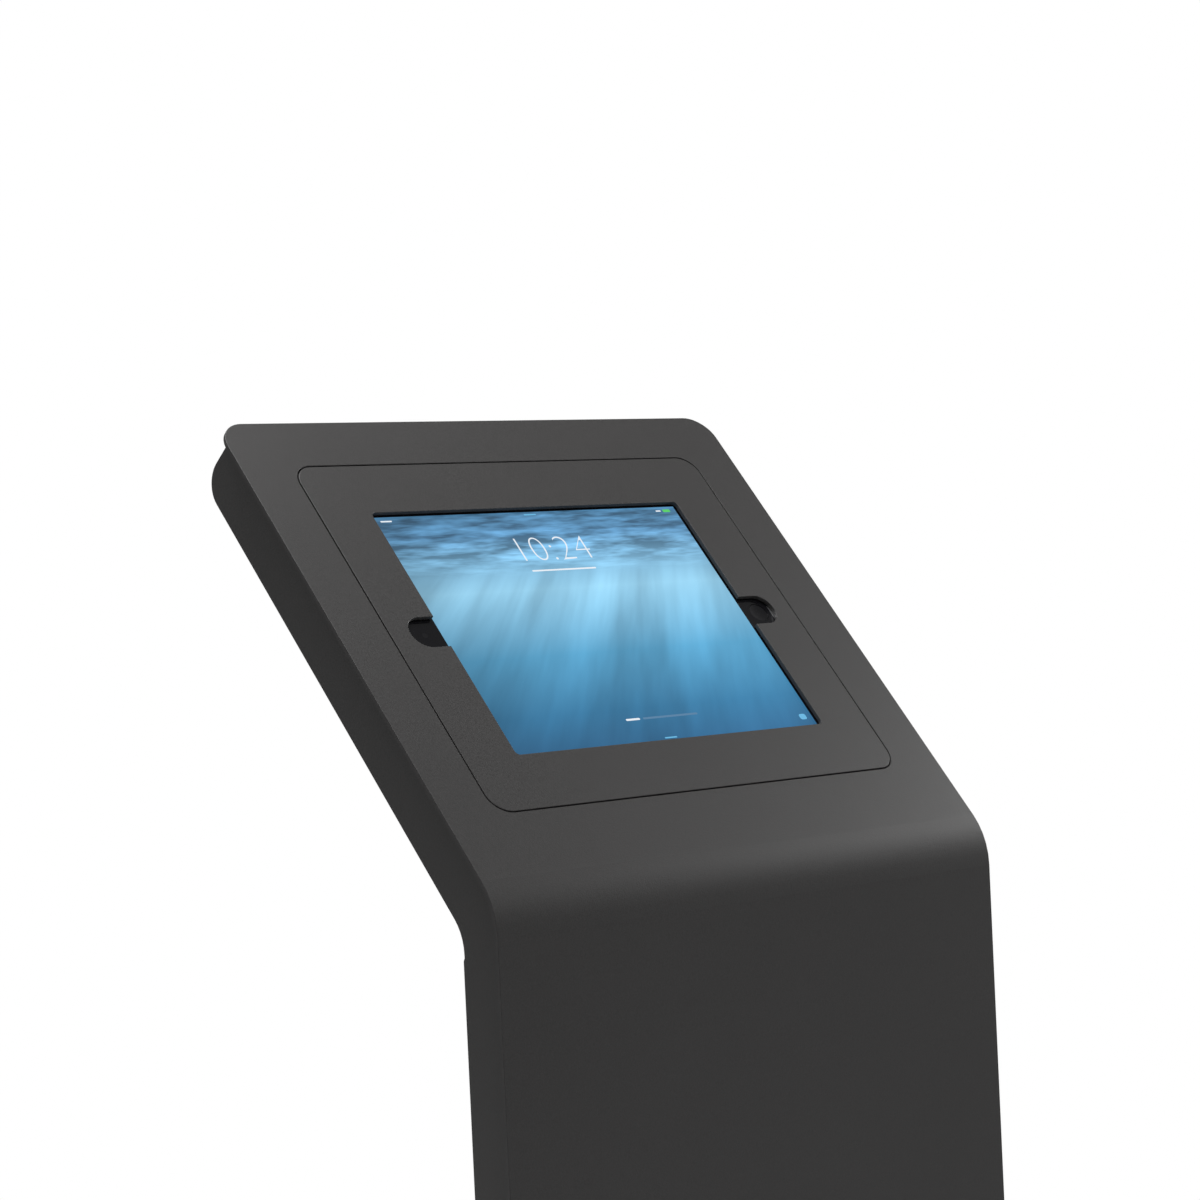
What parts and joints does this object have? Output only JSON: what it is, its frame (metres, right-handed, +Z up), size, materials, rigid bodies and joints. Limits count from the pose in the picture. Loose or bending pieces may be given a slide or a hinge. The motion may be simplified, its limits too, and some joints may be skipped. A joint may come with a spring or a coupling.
{
  "type": "touchscreen kiosk",
  "caption": "Free-standing tablet kiosk: leaning sheet-steel column on a base plate, tilted head with a flush hinged insert panel, lockable rear door.",
  "frame": {"origin": "floor level under the middle of the base plate", "axes": "+Z up, the screen faces -Y, +X is to the right of a person facing the screen"},
  "size_m": [0.4, 0.3852, 1.0999],
  "materials": {
    "powder_coat": "fine-texture charcoal powder coat",
    "insert_coat": "fine-texture charcoal powder coat",
    "base_coat": "fine-texture charcoal powder coat",
    "zinc_steel": "bright zinc plate",
    "stainless": "satin",
    "lock_chrome": "polished",
    "cover_glass": "glossy, black-backed",
    "display": "lit display",
    "tablet_aluminium": "bead-blasted",
    "button_black": "gloss",
    "black_plastic": "fine texture",
    "foam": "closed-cell foam",
    "rubber": "matt",
    "circuit_board": "solder mask",
    "battery_foil": "foil pouch",
    "lens_glass": "coated lens"
  },
  "bodies": {
    "frame": {"base_plate": "base_coat", "foot_bracket": "zinc_steel", "foot_screws": "zinc_steel", "front_sheet": "powder_coat", "side_left": "powder_coat", "side_right": "powder_coat", "rear_sheet": "powder_coat", "rear_sill": "powder_coat", "cable_grommet": "rubber", "cross_brace_upper": "zinc_steel", "cross_brace_middle": "zinc_steel", "cross_brace_lower": "zinc_steel", "power_supply": "black_plastic", "power_supply_clip": "zinc_steel", "panel_frame": "powder_coat", "frame_studs": "zinc_steel", "frame_nuts": "zinc_steel", "tablet_cradle": "zinc_steel", "cradle_screws": "stainless", "cradle_pads": "foam", "tablet_case": "tablet_aluminium", "tablet_glass": "cover_glass", "tablet_display": "display", "tablet_camera": "lens_glass", "tablet_battery": "battery_foil", "tablet_board": "circuit_board", "home_switch": "stainless", "volume_rocker_pin": "stainless", "panel_hinge_brackets": "zinc_steel", "panel_hinge_pins": "stainless", "latch_housing": "black_plastic", "door_hinge_frame_leaves": "powder_coat", "door_hinge_pins": "stainless"},
    "insert": {"insert_panel": "insert_coat", "panel_gasket": "foam", "panel_hinge_arms": "zinc_steel", "panel_striker": "zinc_steel"},
    "latch": {"latch_bolt": "stainless"},
    "door": {"rear_door": "powder_coat", "door_stiffener": "zinc_steel", "door_hinge_door_leaves": "powder_coat", "lock_body": "lock_chrome", "lock_nut": "zinc_steel"},
    "lock": {"lock_plug": "lock_chrome", "lock_cam": "zinc_steel", "lock_cam_screw": "stainless"},
    "home_button": {"home_button": "button_black"},
    "power_button": {"power_button": "tablet_aluminium"},
    "volume_rocker": {"volume_rocker": "tablet_aluminium"}
  },
  "joints": [
    {"name": "insert_panel_hinge", "type": "hinge", "parent": "frame", "child": "insert", "pos_m": [0, 0.18674, 1.08685], "axis": [-1, 0, 0], "range_deg": [0, 75]},
    {"name": "panel_latch_slide", "type": "slide", "parent": "frame", "child": "latch", "axis": [1, 0, 0], "range_m": [0, 0.006]},
    {"name": "rear_door_hinge", "type": "hinge", "parent": "frame", "child": "door", "pos_m": [0.1573, -0.01232, 0.46396], "axis": [0, -0.0698, -0.9976], "range_deg": [0, 110]},
    {"name": "door_lock_turn", "type": "hinge", "parent": "door", "child": "lock", "pos_m": [-0.125, -0.00957, 0.51188], "axis": [0, 0.9976, -0.0698], "range_deg": [0, 90]},
    {"name": "home_button_press", "type": "slide", "parent": "frame", "child": "home_button", "axis": [0, 0.7071, -0.7071], "range_m": [0, 0.0004], "stiffness_N_per_m": 400},
    {"name": "power_button_press", "type": "slide", "parent": "frame", "child": "power_button", "axis": [1, 0, 0], "range_m": [0, 0.0003], "stiffness_N_per_m": 400},
    {"name": "volume_rocker_tilt", "type": "hinge", "parent": "frame", "child": "volume_rocker", "pos_m": [-0.085, 0.1592, 1.05775], "axis": [0, -0.7071, 0.7071], "range_deg": [-1.5, 1.5], "stiffness_Nm_per_rad": 0.02}
  ]
}
